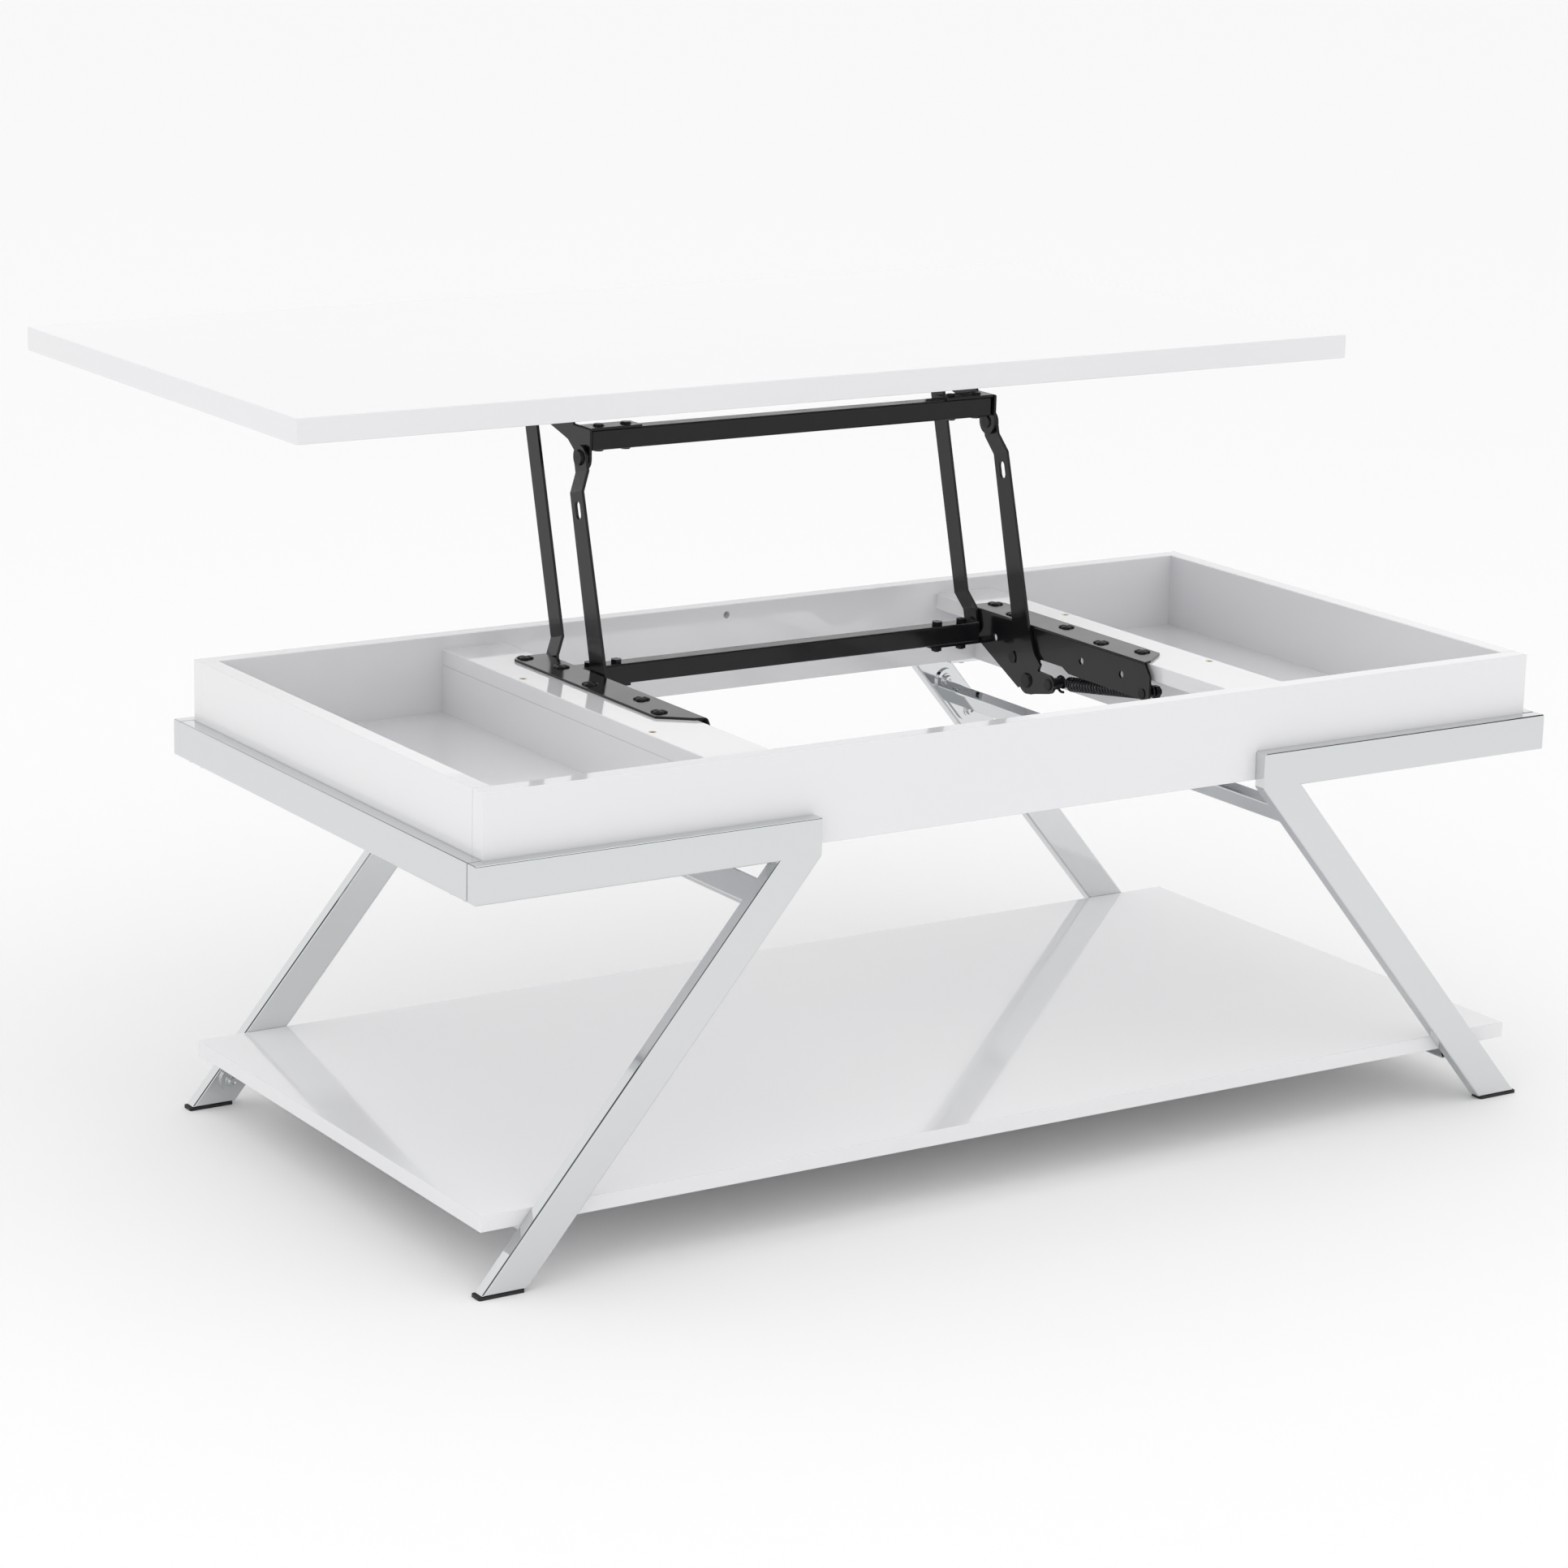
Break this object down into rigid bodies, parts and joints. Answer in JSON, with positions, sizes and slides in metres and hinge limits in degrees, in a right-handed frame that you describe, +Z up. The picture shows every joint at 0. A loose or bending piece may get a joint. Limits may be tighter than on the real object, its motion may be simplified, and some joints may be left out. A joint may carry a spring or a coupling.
{
  "type": "lift top coffee table",
  "caption": "Lift top coffee table with a white lacquered tray, top and shelf on chrome Z frames and a sprung black steel lift mechanism.",
  "frame": {"origin": "on the floor, under the middle of the tray", "axes": "+X along the table to its right end, +Y to the back, towards which the raised top moves, +Z up"},
  "size_m": [1.2, 0.9334, 0.7222],
  "materials": {
    "white_lacquer": "gloss",
    "chrome": "polished",
    "zinc_steel": "satin",
    "brass_plated": "satin",
    "black_plastic": "matte",
    "beech": "matte",
    "black_steel": "satin"
  },
  "bodies": {
    "base": {"arm_stop_pins": "black_steel", "base_bracket_left": "black_steel", "base_bracket_right": "black_steel", "base_pivots": "black_steel", "base_washers": "black_steel", "board_screws": "brass_plated", "bracket_screws": "black_steel", "compartment_floor_left": "white_lacquer", "compartment_floor_right": "white_lacquer", "corner_dowels": "beech", "corner_tongues": "zinc_steel", "cross_bar_bolts": "chrome", "cross_bar_plates": "chrome", "divider_left": "white_lacquer", "divider_right": "white_lacquer", "foot_pads": "black_plastic", "leg_back_left": "chrome", "leg_back_right": "chrome", "leg_front_left": "chrome", "leg_front_right": "chrome", "lower_cross_bar_left": "chrome", "lower_cross_bar_right": "chrome", "lower_cross_tube": "black_steel", "lower_tube_bolts": "black_steel", "mounting_board_left": "white_lacquer", "mounting_board_right": "white_lacquer", "rail_back_left": "chrome", "rail_back_right": "chrome", "rail_end_plates": "chrome", "rail_front_left": "chrome", "rail_front_right": "chrome", "shelf_panel": "white_lacquer", "shelf_screws": "zinc_steel", "side_rail_left": "chrome", "side_rail_right": "chrome", "side_rail_screws": "chrome", "spring_anchor_pins": "black_steel", "tray_back_panel": "white_lacquer", "tray_front_panel": "white_lacquer", "tray_left_panel": "white_lacquer", "tray_right_panel": "white_lacquer", "tray_screws": "zinc_steel", "tray_tabs": "chrome", "upper_cross_bar_left": "chrome", "upper_cross_bar_right": "chrome"},
    "front_arms": {"front_arm_left": "black_steel", "front_arm_right": "black_steel", "spring_lever_pins": "black_steel"},
    "rear_arms": {"rear_arm_left": "black_steel", "rear_arm_right": "black_steel"},
    "lift_top": {"top_panel": "white_lacquer", "top_bracket_left": "black_steel", "top_bracket_right": "black_steel", "top_bracket_screws": "zinc_steel", "upper_cross_tube": "black_steel", "upper_tube_bolts": "black_steel", "top_pivots": "black_steel", "top_washers": "black_steel"},
    "springs": {"lift_springs": "black_steel"},
    "hooks": {"spring_hooks": "black_steel"}
  },
  "joints": [
    {"name": "lift", "type": "hinge", "parent": "base", "child": "front_arms", "pos_m": [0, 0.084, 0.384], "axis": [1, 0, 0], "range_deg": [0, 103]},
    {"name": "rear_lift", "type": "hinge", "parent": "base", "child": "rear_arms", "pos_m": [0, 0.185, 0.423], "axis": [1, 0, 0], "range_deg": [0, 103]},
    {"name": "top_level", "type": "hinge", "parent": "front_arms", "child": "lift_top", "pos_m": [0, 0.15259, 0.63997], "axis": [1, 0, 0], "range_deg": [-103, 0]},
    {"name": "spring_swing", "type": "hinge", "parent": "base", "child": "springs", "pos_m": [0, -0.1027, 0.4087], "axis": [1, 0, 0], "range_deg": [-9.49, 0]},
    {"name": "spring_stretch", "type": "slide", "parent": "springs", "child": "hooks", "axis": [0, 0.9897, -0.1435], "range_m": [0, 0.05052], "deforming": ["lift_springs", "spring_hooks"]}
  ],
  "couplings": [
    {"joint": "rear_lift", "follows": "lift", "ratio": 1},
    {"joint": "top_level", "follows": "lift", "ratio": -1},
    {"joint": "spring_swing", "follows": "lift", "ratio": -0.092082},
    {"joint": "spring_stretch", "follows": "lift", "m_per_rad": 0.028046}
  ]
}
